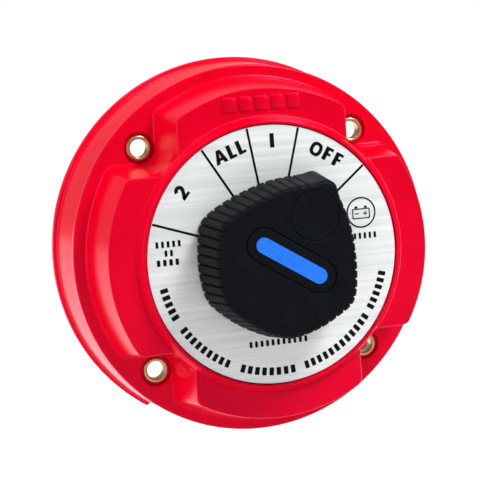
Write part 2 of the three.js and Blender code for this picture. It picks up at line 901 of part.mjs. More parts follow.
function retainingRing() {
  const inner = shaftRadius - clipGroove + holeGap;
  const whole = ring(inner, inner + clipWidth, clipRear, clipRear + clipThickness, mediumSteps);
  const mouth = block(shaftRadius * 2, clipMouth, clipRear - past, clipRear + clipThickness + past, [
    shaftRadius,
    0,
  ]);
  return piece('retaining_ring', 'steel', whole.subtract(mouth));
}

function thrustWasher() {
  const front = bushingFlangeRear - seatGap;
  const solid = ring(shaftRadius + runGap, hubRadius, front - thrustThickness, front, mediumSteps);
  return piece('thrust_washer', 'nylon', solid);
}

const pegCircle = (track[0] + track[1]) / 2 - pegInset;
const pocketFloor = rotorRear + pocketBottom;
const pocketRadius = ballRadius + ballGap;

function rotor() {
  const disc = rod(rotorRadius, rotorRear, rotorFront, roundSteps);
  const hub = rod(hubRadius, rotorFront - past, hubFront, mediumSteps);
  const ear = sector(
    rotorRadius - 2 * past,
    rotorRadius + earReach,
    180 - earHalfAngle,
    180 + earHalfAngle,
    rotorRear,
    rotorFront,
  );
  const peg = rod(pegRadius, wiperRear + seatGap, rotorRear + past, smallSteps, [pegCircle, 0]);
  const holeSide = squareSide + 2 * squareGap;
  const hole = block(holeSide, holeSide, rotorRear - past, hubFront + past);
  const pockets = [90, 270].map((degrees) =>
    rod(pocketRadius, pocketFloor, rotorFront + past, smallSteps, polar(raceRadius, degrees)),
  );
  const body = join([disc, hub, ear, peg]);
  const aligned = hole.rotate([0, 0, pointerAngle - wiperAngle]);
  return piece('rotor', 'nylon', cut(body, [aligned, ...pockets]));
}

function wiperBlade() {
  const hub = ring(pivotRadius + holeGap, wiperHub, wiperRear, wiperFront, mediumSteps);
  const arm = sector(wiperHub - past, track[1], -wiperHalfAngle, wiperHalfAngle, wiperRear, wiperFront);
  const pegHole = rod(pegRadius + holeGap, wiperRear - past, wiperFront + past, smallSteps, [pegCircle, 0]);
  return piece('wiper_blade', 'copper', hub.add(arm).subtract(pegHole));
}

// A flat ring bent into waves, between the wiper and the rotor.
function wiperSpring() {
  const [inner, outer] = waveRing;
  const half = waveThickness / 2;
  const points = [[inner, -half], [outer, -half], [outer, half], [inner, half], [inner, -half]];
  const profile = points.map(([r, z]) => new THREE.Vector2(r, z));
  const geometry = new THREE.LatheGeometry(profile, roundSteps).rotateX(Math.PI / 2);
  const position = geometry.attributes.position;
  for (let i = 0; i < position.count; i += 1) {
    const bearing = Math.atan2(position.getY(i), position.getX(i));
    position.setZ(i, position.getZ(i) + waveHeight * Math.cos(waveCount * bearing) + waveLevel);
  }
  return piece('wiper_spring', 'spring', solidOf(geometry));
}

class Helix extends THREE.Curve {
  constructor(radius, turns, low, high) {
    super();
    Object.assign(this, { radius, turns, low, high });
  }

  getPoint(share, target = new THREE.Vector3()) {
    const turn = 2 * Math.PI * this.turns * share;
    const height = THREE.MathUtils.lerp(this.low, this.high, share);
    return target.set(this.radius * Math.cos(turn), this.radius * Math.sin(turn), height);
  }
}

function detentSpring(name, degrees) {
  const low = pocketFloor + seatGap + springWire;
  const high = ballLevel - ballRadius - seatGap - springWire;
  const radius = pocketRadius - springWire - springGap;
  const section = new THREE.Shape();
  section.absarc(0, 0, springWire, 0, 2 * Math.PI, false);
  const geometry = new THREE.ExtrudeGeometry(section, {
    steps: 12 * springTurns,
    curveSegments: 3,
    bevelEnabled: false,
    extrudePath: new Helix(radius, springTurns, low, high),
  });
  const mesh = piece(name, 'spring', solidOf(geometry));
  mesh.position.set(...polar(raceRadius, degrees), 0);
  return mesh;
}

function detentBall(name, degrees) {
  const mesh = piece(name, 'steel', ball(ballRadius, [0, 0, ballLevel]));
  mesh.position.set(...polar(raceRadius, degrees), 0);
  return mesh;
}

// ---------------------------------------------------------------- the whole switch

const eyeletNames = ['eyelet_upper_right', 'eyelet_upper_left', 'eyelet_lower_left', 'eyelet_lower_right'];

const fixed = new THREE.Group();
fixed.add(
  housing(),
  mountingSkirt(),
  ...eyeletNames.map((name, i) => eyelet(name, diagonals[i])),
  dialPlate(),
  shaftBushing(),
  detentPlate(),
  baseGasket(),
  basePlate(),
  ...diagonals.map((degrees, i) => baseScrew(`base_screw_${i + 1}`, degrees)),
  sectorContact('contact_one', sectorOne, studAngles.one),
  sectorContact('contact_two', sectorTwo, studAngles.two),
  commonContact(),
  ...Object.keys(studAngles).flatMap(terminal),
);

const handle = new THREE.Group();
handle.add(knob(), knobBadge(), knobScrew(), selectorShaft(), shaftSeal(), retainingRing(), thrustWasher());
handle.rotation.z = radians(pointerAngle);

const carrier = new THREE.Group();
carrier.add(
  rotor(),
  wiperBlade(),
  wiperSpring(),
  ...[90, 270].flatMap((degrees, i) => [
    detentBall(`detent_ball_${i + 1}`, degrees),
    detentSpring(`detent_spring_${i + 1}`, degrees),
  ]),
);
carrier.rotation.z = radians(wiperAngle);

const group = new THREE.Group();
group.add(fixed, handle, carrier);
group.rotation.x = Math.PI / 2;

export default group;
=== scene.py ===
"""A red battery selector switch with a pointer knob, in a plain bright studio.

Shapes are drawn in millimetres in the switch's own axes: x to the right, y up and w out of the
bulkhead towards the dial. to_frame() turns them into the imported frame, in metres, where the
dial faces -Y. Angles run anticlockwise from +x as seen from the dial side.
"""

import math

import bpy
import numpy as np
from mathutils import Matrix, Vector
from mathutils.geometry import delaunay_2d_cdt


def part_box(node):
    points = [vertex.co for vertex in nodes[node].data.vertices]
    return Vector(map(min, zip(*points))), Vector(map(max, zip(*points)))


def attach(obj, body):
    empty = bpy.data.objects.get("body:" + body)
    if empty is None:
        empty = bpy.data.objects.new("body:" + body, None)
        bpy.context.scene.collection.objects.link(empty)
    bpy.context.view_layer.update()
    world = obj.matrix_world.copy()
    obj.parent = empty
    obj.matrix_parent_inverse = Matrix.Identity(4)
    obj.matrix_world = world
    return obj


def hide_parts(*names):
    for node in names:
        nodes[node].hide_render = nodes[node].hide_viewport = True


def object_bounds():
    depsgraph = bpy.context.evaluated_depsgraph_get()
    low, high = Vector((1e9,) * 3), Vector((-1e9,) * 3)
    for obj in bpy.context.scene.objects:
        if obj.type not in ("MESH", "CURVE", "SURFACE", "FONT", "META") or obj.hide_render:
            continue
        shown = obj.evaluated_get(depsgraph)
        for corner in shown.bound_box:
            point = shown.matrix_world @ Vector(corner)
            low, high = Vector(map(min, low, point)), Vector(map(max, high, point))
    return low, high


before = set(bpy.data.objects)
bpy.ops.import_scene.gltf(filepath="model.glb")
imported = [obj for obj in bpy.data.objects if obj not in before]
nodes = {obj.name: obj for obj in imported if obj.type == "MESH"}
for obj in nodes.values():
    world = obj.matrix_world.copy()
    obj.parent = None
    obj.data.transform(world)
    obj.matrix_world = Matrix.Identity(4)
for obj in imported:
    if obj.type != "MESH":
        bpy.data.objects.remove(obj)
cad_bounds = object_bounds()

MM = 0.001


# ---------------------------------------------------------------- sizes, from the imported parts

def span(node):
    """A node's lowest and highest x, y and w, in millimetres."""
    low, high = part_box(node)
    low, high = np.array(low) / MM, np.array(high) / MM
    return np.array((low[0], low[2], -high[1])), np.array((high[0], high[2], -low[1]))


def radius_of(node):
    low, high = span(node)
    return max(high[0], -low[0], high[1], -low[1])


def middle_of(node):
    low, high = span(node)
    return (low + high) / 2


rear, front = 0, 1
level = lambda node, side: span(node)[side][2]

# Case
flange_radius = radius_of("housing")
rim_top = level("housing", front)
well_rear = level("housing", rear)
skirt_front = level("mounting_skirt", front)
flange_rear = skirt_front + 0.3
flange_front = flange_rear + 3
pad_top = rim_top - 2.5
pad_foot_radius = flange_radius - 4.4
pad_top_radius = pad_foot_radius - 3.5
pad_half_width, pad_half_foot = 29.5, 32.7
pad_core_ceiling = pad_top - 2.5
pad_wall = 2.5
dome_top_radius = pad_top_radius - 9.6
dome_foot_radius = dome_top_radius + 1.6
rim_outer_radius = dome_top_radius - 1.4
recess_radius = radius_of("dial_plate") + 0.3
well_radius, well_outer_radius, ledge = 43.4, 46.0, 25.6
cavity_radius = 41.0
deck_front = level("dial_plate", rear) - 0.3
deck_rear = deck_front - 3
spigot_inner, spigot_outer = 58.9, 60.9
spigot_rear = flange_rear - 2.4
shaft_hole = 7.3
eyelet_at = middle_of("eyelet_upper_right")[0]
eyelet_hole, eyelet_counterbore, counterbore_depth = 3.8, 5.4, 1.2
bar_middle, bar_pitch, bar_width, bar_height = 51.0, 5.6, 4.6, 4.8  # of the raised bars
bar_shoulder, bar_rise = 0.22, 0.45

# Radii that round the housing's edges, and fillets where its shapes meet
pad_corner_round, pad_edge_round = 1.3, 0.55
dome_edge_round, rim_edge_round = 0.45, 0.3
pad_fillet, pad_foot_fillet = 0.4, 1.8
foot_start, foot_run = 1.5, 3  # below the pad's top, where its fillet grows
flange_edge_round, flange_fillet = 0.9, 1.0
core_round, recess_round, counterbore_round, hole_round = 0.4, 0.25, 0.35, 0.2

# Dial
dial_front = level("dial_plate", front)
ink_thickness, ink_sunk = 0.03, 0.05  # above and below the dial's face
line_angles = (160.8, 121.2, 98.6, 74.7, 39.0)
line_middle, line_length, line_width = 33.25, 20.3, 0.8

# Knob
pointer = math.radians(57)
knob_low, knob_high = level("knob", rear), level("knob", front)
knob_half_outline = [
    (29.2, 0), (28.7, 2.1), (26.3, 4.6), (22.3, 9.9), (18, 14.6), (12, 19.4), (5.8, 23.4),
    (0.6, 25.8), (-3.6, 26.1), (-9.2, 23.6), (-14.3, 20.6), (-19.4, 16.4), (-22.9, 12),
    (-24.3, 6), (-24.7, 0),
]
knob_flare, knob_crown, knob_bevel = 1.07, 0.93, 2.2
rib_count, rib_depth, nose_half_angle = 52, 0.8, math.radians(11)
thumb_at, thumb_radius, thumb_depth = 16.5, 8.0, 0.7
badge_length, badge_width, badge_gap = 33.0, 11.0, 0.3
stripe_length, stripe_width = 27, 5.2


# ---------------------------------------------------------------- mesh tools

def to_frame(points):
    """Millimetres in x, y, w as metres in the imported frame."""
    points = np.asarray(points, float)
    return np.stack((points[:, 0], -points[:, 2], points[:, 1]), 1) * MM


def turned_about_shaft(points, angle):
    """Points turned anticlockwise about the shaft, by an angle in radians."""
    points = np.asarray(points, float)
    c, s = math.cos(angle), math.sin(angle)
    x, y = points[:, 0], points[:, 1]
    return np.stack((c * x - s * y, s * x + c * y, points[:, 2]), 1)


def make(name, points, faces, body, material, normals=None, crease=40, replaces=()):
    """A piece from a mesh in x, y, w millimetres. Edges sharper than crease degrees stay sharp."""
    mesh = bpy.data.meshes.new(name)
    mesh.from_pydata(to_frame(points).tolist(), [], [list(map(int, f)) for f in faces])
    mesh.validate()
    mesh.polygons.foreach_set("use_smooth", [True] * len(mesh.polygons))
    if normals is not None:
        mesh.normals_split_custom_set_from_vertices(to_frame(normals / MM).tolist())
    else:
        mesh.set_sharp_from_angle(angle=math.radians(crease))
    mesh.materials.append(material)
    obj = bpy.data.objects.new(name, mesh)
    bpy.context.collection.objects.link(obj)
    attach(obj, body)
    if replaces:
        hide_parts(*replaces)
    return obj


def joined(parts):
    """Several (points, faces) as one."""
    points, faces, start = [], [], 0
    for part_points, part_faces in parts:
        points.append(np.asarray(part_points, float))
        faces.extend([[i + start for i in face] for face in part_faces])
        start += len(part_points)
    return np.concatenate(points), faces


def rounded(corners, steps=4):
    """A closed outline of (u, v, radius) corners, each rounded to its radius."""
    outline = []
    for i, (u, v, radius) in enumerate(corners):
        here = np.array((u, v), float)
        back = np.array(corners[i - 1][:2]) - here
        ahead = np.array(corners[(i + 1) % len(corners)][:2]) - here
        lengths = np.linalg.norm(back), np.linalg.norm(ahead)
        back, ahead = back / lengths[0], ahead / lengths[1]
        half = math.acos(np.clip(back @ ahead, -1, 1)) / 2
        if radius <= 0:
            outline.append(here)
            continue
        reach = min(radius / math.tan(half), 0.49 * min(lengths))
        radius = reach * math.tan(half)
        inward = (back + ahead) / np.linalg.norm(back + ahead)
        centre = here + inward * radius / math.sin(half)
        first, last = here + back * reach - centre, here + ahead * reach - centre
        for share in np.linspace(0, 1, steps + 1):
            arm = first * (1 - share) + last * share
            outline.append(centre + arm / np.linalg.norm(arm) * radius)
    return np.array(outline)


def anticlockwise(outline):
    """A closed outline in its anticlockwise order."""
    outline = np.asarray(outline, float)
    ahead = np.roll(outline, -1, 0)
    area = (outline[:, 0] * ahead[:, 1] - ahead[:, 0] * outline[:, 1]).sum()
    return outline if area > 0 else outline[::-1]


def swept(sections, closed):
    """Quads between equal rings of points, with flat ends when the sweep isn't closed."""
    count, size = len(sections), len(sections[0])
    faces = []
    for i in range(count if closed else count - 1):
        j = (i + 1) % count
        for k in range(size):
            m = (k + 1) % size
            faces.append((i * size + k, i * size + m, j * size + m, j * size + k))
    if not closed:
        faces.append(tuple(range(size))[::-1])
        faces.append(tuple((count - 1) * size + k for k in range(size)))
    return np.concatenate(sections), faces


def lathe(outline, steps=96, at=(0, 0)):
    """A closed (radius, w) outline turned round the shaft axis, or round an axis at a point."""
    outline = anticlockwise(outline)
    sections = []
    for angle in np.arange(steps) * 2 * math.pi / steps:
        ring = np.empty((len(outline), 3))
        ring[:, 0] = at[0] + outline[:, 0] * math.cos(angle)
        ring[:, 1] = at[1] + outline[:, 0] * math.sin(angle)
        ring[:, 2] = outline[:, 1]
        sections.append(ring)
    points, faces = swept(sections, True)
    return points, [face[::-1] for face in faces]


# ---------------------------------------------------------------- moulded shapes as distance fields

def join_round(a, b, fillet):
    """The union of two shapes with a round fillet where they meet."""
    near = np.hypot(np.maximum(fillet - a, 0), np.maximum(fillet - b, 0))
    return np.maximum(fillet, np.minimum(a, b)) - near


def meet_round(a, b, edge):
    """The overlap of two shapes with a round edge where they meet."""
    near = np.hypot(np.maximum(edge + a, 0), np.maximum(edge + b, 0))
    return np.minimum(-edge, np.maximum(a, b)) + near


def cut_round(a, b, edge):
    """The first shape without the second, with a round edge where they meet."""
    return meet_round(a, -b, edge)


def between(w, low, at_low, high, at_high):
    """A value that runs straight from at_low, where w is low, to at_high, where w is high."""
    return at_low + (at_high - at_low) * (w - low) / (high - low)


def pads_and_dome(r, cross, pad_radius, w):
    """The four raised pads, joined to the round dome that carries the dial's rim."""
    half = between(w, flange_front, pad_half_foot, pad_top, pad_half_width)
    pads = meet_round(r - pad_radius, cross - half, pad_corner_round)
    pads = meet_round(pads, w - pad_top, pad_edge_round)
    dome_radius = between(w, flange_front, dome_foot_radius, pad_top, dome_top_radius)
    run, rise = dome_top_radius - rim_outer_radius, rim_top - pad_top
    slope = ((r - dome_top_radius) * rise + (w - pad_top) * run) / math.hypot(run, rise)
    dome = meet_round(r - dome_radius, slope, dome_edge_round)
    dome = meet_round(dome, w - rim_top, rim_edge_round)
    depth = np.clip((pad_top - foot_start - w) / foot_run, 0, 1)
    return join_round(pads, dome, between(depth, 0, pad_fillet, 1, pad_foot_fillet))


def housing_field(x, y, w):
    """Distance to the moulded housing's surface, in millimetres, negative inside."""
    r = np.hypot(x, y)
    cross = np.minimum(np.abs(x), np.abs(y))
    pad_radius = between(w, flange_front, pad_foot_radius, pad_top, pad_top_radius)
    body = pads_and_dome(r, cross, pad_radius, w)
    flange = meet_round(r - flange_radius, w - flange_front, flange_edge_round)
    body = np.maximum(join_round(body, flange, flange_fillet), flange_rear - w)
    # the well round the contacts, and the ring that the skirt fits over
    well = np.maximum(r - well_outer_radius, well_rear - w)
    spigot = np.maximum(np.maximum(r - spigot_outer, spigot_inner - r), spigot_rear - w)
    body = np.minimum(body, np.maximum(np.minimum(well, spigot), w - flange_front))
    # the hollows behind the pads
    core = np.maximum(r - (pad_radius - pad_wall), well_outer_radius - r)
    core = np.maximum(core, np.maximum(cross - (pad_half_width - pad_wall), w - pad_core_ceiling))
    body = cut_round(body, core, core_round)
    # the space inside the well
    hollow = np.maximum(r - cavity_radius, w - deck_rear)
    hollow = np.minimum(hollow, np.maximum(r - well_radius, w - ledge))
    body = np.maximum(body, -hollow)
    # the dial's recess, the shaft's hole and the eyelets' stepped holes
    recess = np.maximum(r - recess_radius, deck_front - w)
    body = cut_round(body, recess, recess_round)
    body = cut_round(body, r - shaft_hole, hole_round)
    off = np.hypot(np.abs(x) - eyelet_at, np.abs(y) - eyelet_at)
    bore = np.maximum(off - eyelet_counterbore, flange_front - counterbore_depth - w)
    body = cut_round(body, bore, counterbore_round)
    return cut_round(body, off - eyelet_hole, hole_round)


def field_gradient(field, points):
    """The field's direction of steepest rise and its slope at each point."""
    step = 0.02
    rise = np.empty_like(points)
    for axis in range(3):
        shift = np.zeros(3)
        shift[axis] = step
        ahead, behind = points + shift, points - shift
        rise[:, axis] = field(*ahead.T) - field(*behind.T)
    rise /= 2 * step
    slope = np.maximum(np.linalg.norm(rise, axis=1, keepdims=True), 1e-6)
    return rise / slope, slope


def surface_net(field, radii, angles, levels):
    """A closed mesh of field = 0 on a grid of radii, angles and levels round the shaft."""
    radius, angle, w = np.meshgrid(radii, angles, levels, indexing="ij")
    inside = field(radius * np.cos(angle), radius * np.sin(angle), w) < 0
    wrapped = np.concatenate((inside, inside[:, :1]), 1)
    corners = sum(
        wrapped[i:len(radii) - 1 + i, j:len(angles) + j, k:len(levels) - 1 + k].astype(int)
        for i in (0, 1) for j in (0, 1) for k in (0, 1)
    )
    mixed = (corners > 0) & (corners < 8)
    index = np.full(mixed.shape, -1)
    index[mixed] = np.arange(mixed.sum())
    i, j, k = np.nonzero(mixed)
    turn = np.append(angles, angles[0] + 2 * math.pi)
    r, a = (radii[i] + radii[i + 1]) / 2, (turn[j] + turn[j + 1]) / 2
    points = np.stack((r * np.cos(a), r * np.sin(a), (levels[k] + levels[k + 1]) / 2), 1)
    longest_step = 0.35
    for _ in range(5):
        normal, slope = field_gradient(field, points)
        away = field(*points.T)[:, None] / slope
        points = points - normal * away.clip(-longest_step, longest_step)
    faces = []

    def quads(turned, cells):
        ring = np.stack([index[c] for c in cells], 1)
        ring[turned] = ring[turned][:, ::-1]
        faces.append(ring[(ring >= 0).all(1)])

    count = len(angles)
    # across a radius edge
    i, j, k = np.nonzero(inside[:-1, :, 1:-1] != inside[1:, :, 1:-1])
    k = k + 1
    before = (j - 1) % count
    quads(inside[i + 1, j, k],
          [(i, before, k - 1), (i, j, k - 1), (i, j, k), (i, before, k)])
    # across an angle edge
    i, j, k = np.nonzero(wrapped[1:-1, :-1, 1:-1] != wrapped[1:-1, 1:, 1:-1])
    i, k = i + 1, k + 1
    quads(wrapped[i, j + 1, k],
          [(i - 1, j, k - 1), (i - 1, j, k), (i, j, k), (i, j, k - 1)])
    # across a level edge
    i, j, k = np.nonzero(inside[1:-1, :, :-1] != inside[1:-1, :, 1:])
    i = i + 1
    before = (j - 1) % count
    quads(inside[i, j, k + 1],
          [(i - 1, before, k), (i, before, k), (i, j, k), (i - 1, j, k)])
    normals, _ = field_gradient(field, points)
    return points, np.concatenate(faces), normals


def graded(*stretches):
    """Grid values through (from, to, step) stretches."""
    values = [np.arange(low, high - step / 2, step) for low, high, step in stretches]
    return np.append(np.concatenate(values), stretches[-1][1])


# ---------------------------------------------------------------- materials

def finish(name, dark, light, rough, metallic=0.0, grain=300, grain_stretch=(1, 1, 1),
           blend=0.5, bump=0.0, bump_scale=2000, bump_stretch=(1, 1, 1), bump_depth=0.02,
           specular=0.5, tint=(1, 1, 1)):
    """A material whose colour, roughness and relief all vary with fine noise.

    grain and bump_scale are the noise's scales, blend is the share of its range over which the
    colour turns from dark to light, and bump_depth is in millimetres.
    """
    made = bpy.data.materials.new(name)
    made.use_nodes = True
    tree = made.node_tree
    shader = tree.nodes["Principled BSDF"]
    shader.inputs["Metallic"].default_value = metallic
    shader.inputs["Specular IOR Level"].default_value = specular
    shader.inputs["Specular Tint"].default_value = (*tint, 1)
    place = tree.nodes.new("ShaderNodeTexCoord")

    def noise(scale, stretch, detail=4.0):
        mapping = tree.nodes.new("ShaderNodeMapping")
        mapping.inputs["Scale"].default_value = stretch
        tree.links.new(place.outputs["Object"], mapping.inputs["Vector"])
        pattern = tree.nodes.new("ShaderNodeTexNoise")
        pattern.inputs["Scale"].default_value = scale
        pattern.inputs["Detail"].default_value = detail
        tree.links.new(mapping.outputs["Vector"], pattern.inputs["Vector"])
        return pattern.outputs["Fac"]

    colour = tree.nodes.new("ShaderNodeValToRGB")
    colour.color_ramp.elements[0].position = 0.5 - blend / 2
    colour.color_ramp.elements[1].position = 0.5 + blend / 2
    colour.color_ramp.elements[0].color = (*dark, 1)
    colour.color_ramp.elements[1].color = (*light, 1)
    tree.links.new(noise(grain, grain_stretch), colour.inputs["Fac"])
    tree.links.new(colour.outputs["Color"], shader.inputs["Base Color"])
    polish = tree.nodes.new("ShaderNodeMapRange")
    polish.inputs["To Min"].default_value = rough[0]
    polish.inputs["To Max"].default_value = rough[1]
    tree.links.new(noise(grain * 1.7, grain_stretch), polish.inputs["Value"])
    tree.links.new(polish.outputs["Result"], shader.inputs["Roughness"])
    if bump:
        relief = tree.nodes.new("ShaderNodeBump")
        relief.inputs["Strength"].default_value = bump
        relief.inputs["Distance"].default_value = bump_depth * MM
        tree.links.new(noise(bump_scale, bump_stretch, 3.0), relief.inputs["Height"])
        tree.links.new(relief.outputs["Normal"], shader.inputs["Normal"])
    return made


red_plastic = finish("red_plastic", (0.74, 0.0, 0.013), (0.86, 0.0, 0.019), (0.16, 0.24),
                     grain=60, bump=0.15, bump_scale=900, bump_depth=0.03, specular=0.2,
                     tint=(1.0, 0.25, 0.9))
brushed_dial = finish("brushed_dial", (0.76, 0.82, 0.81), (0.97, 1.0, 0.99), (0.3, 0.45),
                      metallic=0.12, grain=160, grain_stretch=(0.12, 1, 5), blend=0.45,
                      bump=0.35, bump_scale=1500, bump_stretch=(0.03, 1, 1), bump_depth=0.01)
black_knob = finish("black_knob", (0.002, 0.003, 0.004), (0.005, 0.007, 0.009), (0.48, 0.6),
                    grain=240, bump=0.35, bump_scale=3200, bump_depth=0.03, specular=0.07)
black_ink = finish("black_ink", (0.002, 0.002, 0.002), (0.006, 0.006, 0.006), (0.4, 0.5),
                   grain=900, specular=0.08)
blue_ink = finish("blue_ink", (0.002, 0.17, 0.9), (0.004, 0.21, 1.0), (0.3, 0.4), grain=500)
brass = finish("brass", (0.46, 0.34, 0.15), (0.68, 0.54, 0.28), (0.26, 0.4), metallic=1.0,
               grain=420, bump=0.15, bump_scale=1800, bump_depth=0.01)
stud_brass = finish("stud_brass", (0.50, 0.36, 0.15), (0.78, 0.61, 0.31), (0.2, 0.38),
                    metallic=1.0, grain=300, bump=0.2, bump_scale=2200, bump_depth=0.01)
copper = finish("copper", (0.52, 0.2, 0.1), (0.78, 0.36, 0.2), (0.22, 0.4), metallic=1.0,
                grain=260, bump=0.2, bump_scale=1800, bump_depth=0.01)
steel = finish("steel", (0.42, 0.43, 0.45), (0.66, 0.67, 0.69), (0.22, 0.36), metallic=1.0,
               grain=350, bump=0.15, bump_scale=2400, bump_depth=0.01)
bronze = finish("bronze", (0.30, 0.18, 0.07), (0.48, 0.31, 0.14), (0.35, 0.5), metallic=1.0,
                grain=900, bump=0.3, bump_scale=2600, bump_depth=0.02)
phenolic = finish("phenolic", (0.010, 0.009, 0.008), (0.035, 0.03, 0.026), (0.35, 0.55),
                  grain=700, bump=0.3, bump_scale=1500, bump_depth=0.03)
nylon = finish("nylon", (0.70, 0.66, 0.56), (0.82, 0.78, 0.68), (0.4, 0.55), grain=120,
               bump=0.2, bump_scale=1500, bump_depth=0.02)
rubber = finish("rubber", (0.006, 0.006, 0.006), (0.018, 0.018, 0.018), (0.7, 0.9),
                grain=800, bump=0.4, bump_scale=2600, bump_depth=0.04)

node_finishes = {
    red_plastic: ("housing", "mounting_skirt"),
    brass: [f"eyelet_{corner}" for corner in ("upper_right", "upper_left", "lower_left", "lower_right")],
    brushed_dial: ["dial_plate"],
    bronze: ["shaft_bushing"],
    steel: ["detent_plate", "retaining_ring", "knob_screw", "selector_shaft", "wiper_spring",
            "detent_ball_1", "detent_ball_2", "detent_spring_1", "detent_spring_2",
            "base_screw_1", "base_screw_2", "base_screw_3", "base_screw_4",
            "lock_washer_one", "lock_washer_two", "lock_washer_common"],
    rubber: ["base_gasket", "shaft_seal"],
    phenolic: ["base_plate"],
    copper: ["contact_one", "contact_two", "contact_common", "wiper_blade"],
    stud_brass: [f"{kind}_{label}" for kind in ("stud", "jam_nut", "terminal_nut")
                 for label in ("one", "two", "common")],
    black_knob: ["knob", "knob_badge"],
    nylon: ["rotor", "thrust_washer"],
}
for material, names in node_finishes.items():
    for name in names:
        nodes[name].data.materials.clear()
        nodes[name].data.materials.append(material)


# ---------------------------------------------------------------- housing, skirt and eyelets

# The grid is finest at the pads' ends, in the corner pockets and along the edges of the dial's rim.
near, beside = math.radians(7), math.radians(18)
fine, middling, coarse = math.radians(0.38), math.radians(0.6), math.radians(1.3)
eighth = math.pi / 4
angles = np.concatenate([
    graded((q - eighth, q - beside, coarse), (q - beside, q - near, middling), (q - near, q + near, fine),
           (q + near, q + beside, middling), (q + beside, q + eighth, coarse))[:-1]
    for q in eighth + np.arange(4) * 2 * eighth
])
radii = graded((6, 8.4, 0.4), (8.4, 40, 3.95), (40, 43, 0.5), (43, 47.2, 0.35),
               (47.2, 60, 0.5), (60, 64.8, 0.4))
levels = graded((well_rear - 0.6, 22, 0.8), (22, 27.6, 0.4), (27.6, 42.6, 1.5), (42.6, 48.7, 0.3))
points, faces, normals = surface_net(housing_field, radii, angles, levels)
make("housing_moulding", points, faces, "case", red_plastic, normals,
     replaces=["housing"])

skirt_foot, skirt_top, lip = 65.2, flange_radius - 0.2, radius_of("mounting_skirt")
skirt_wall = 2.5
skirt_outline = anticlockwise(rounded([
    (skirt_foot - skirt_wall, 0, 0.5), (lip, 0, 0.7), (lip, 3.2, 1.0), (skirt_foot, 4.2, 1.2),
    (skirt_top, skirt_front, 0.9), (skirt_top - skirt_wall, skirt_front, 0.4),
], 5))
inward = skirt_outline.mean(0) - skirt_outline
inward /= np.maximum(np.linalg.norm(inward * (1, 0.15), axis=1, keepdims=True), 1e-6)
inward = np.clip(inward, -1, 1)

# The ring is open at the bottom for the cables, and its two ends are bevelled.
half_opening = math.radians(34)
first, last = -math.pi / 2 + half_opening, 3 * math.pi / 2 - half_opening
bevel, ring_steps = 0.4 / skirt_foot, 220
turns = np.concatenate(([first, first + bevel / 3],
                        np.linspace(first + bevel, last - bevel, ring_steps),
                        [last - bevel / 3, last]))
insets = np.concatenate(([0.35, 0.1], np.zeros(ring_steps), [0.1, 0.35]))
sections = []
for turn, inset in zip(turns, insets):
    outline = skirt_outline + inward * inset
    sections.append(np.stack((outline[:, 0] * math.cos(turn), outline[:, 0] * math.sin(turn),
                              outline[:, 1]), 1))
points, faces = swept(sections, False)
make("skirt_moulding", points, [face[::-1] for face in faces], "case", red_plastic,
     crease=50, replaces=["mounting_skirt"])

eyelet_rear, eyelet_front = level("eyelet_upper_right", rear), level("eyelet_upper_right", front)
eyelet_bore, eyelet_tube, eyelet_rim, eyelet_roll = 3.0, 3.5, 4.3, 4.2
eyelet_seat, roll_front = flange_front - 0.9, eyelet_rear + 0.8
for corner in ("upper_right", "upper_left", "lower_left", "lower_right"):
    node = f"eyelet_{corner}"
    x, y, _ = middle_of(node)
    outline = rounded([
        (eyelet_bore, eyelet_rear, 0.3), (eyelet_roll, eyelet_rear, 0.35),
        (eyelet_roll, roll_front, 0.35), (eyelet_tube, roll_front, 0.1),
        (eyelet_tube, eyelet_seat, 0.1), (eyelet_rim, eyelet_seat, 0.3),
        (eyelet_rim, eyelet_front, 0.55), (eyelet_bore, eyelet_front, 0.6),
    ], 5)
    points, faces = lathe(outline, 64, (x, y))
    make(f"{node}_rolled", points, faces, "case", brass, crease=60, replaces=[node])


# ---------------------------------------------------------------- dial plate and its print

dial_radius, dial_rear = radius_of("dial_plate"), level("dial_plate", rear)
dial_outline = rounded([
    (shaft_hole, dial_rear, 0.08), (dial_radius, dial_rear, 0.08),
    (dial_radius, dial_front, 0.12), (shaft_hole, dial_front, 0.12),
], 3)
points, faces = lathe(dial_outline, 180)
make("dial_face", points, faces, "case", brushed_dial, crease=50, replaces=["dial_plate"])


def flat_ring(outline, w):
    """A closed outline as points at one level."""
    return np.column_stack((outline, np.full(len(outline), w)))


def prism(outline, low, high):
    """A closed flat outline as a solid between two levels."""
    outline = anticlockwise(outline)
    return swept([flat_ring(outline, low), flat_ring(outline, high)], False)


def band(outer, inner, low, high):
    """The solid between two equal closed outlines, one inside the other."""
    outer, inner = anticlockwise(outer), anticlockwise(inner)
    sections = [np.array([(*o, low), (*o, high), (*i, high), (*i, low)]) for o, i in zip(outer, inner)]
    return swept(sections, True)


def placed(outlines, at, turn):
    """Outlines turned anticlockwise by an angle in radians, then moved."""
    c, s = math.cos(turn), math.sin(turn)
    return [outline @ np.array(((c, s), (-s, c))) + at for outline in outlines]


def bar(length, height, at=(0, 0), turn=0.0, corner=0.15):
    """A small bar's outline, with its corners rounded, turned and moved into place."""
    u, v = length / 2, height / 2
    corner = min(corner, 0.9 * u, 0.9 * v)
    outline = rounded([(-u, -v, corner), (u, -v, corner), (u, v, corner), (-u, v, corner)], 3)
    return placed([outline], at, turn)[0]


def polar(radius, degrees):
    angle = math.radians(degrees)
    return np.array((radius * math.cos(angle), radius * math.sin(angle)))


ink_low, ink_high = dial_front - ink_sunk, dial_front + ink_thickness
ink = lambda outline: prism(outline, ink_low, ink_high)

lines = [
    ink(bar(line_length, line_width, polar(line_middle, degrees), math.radians(degrees), 0.1))
    for degrees in line_angles
]
points, faces = joined(lines)
make("dial_lines", points, faces, "case", black_ink)


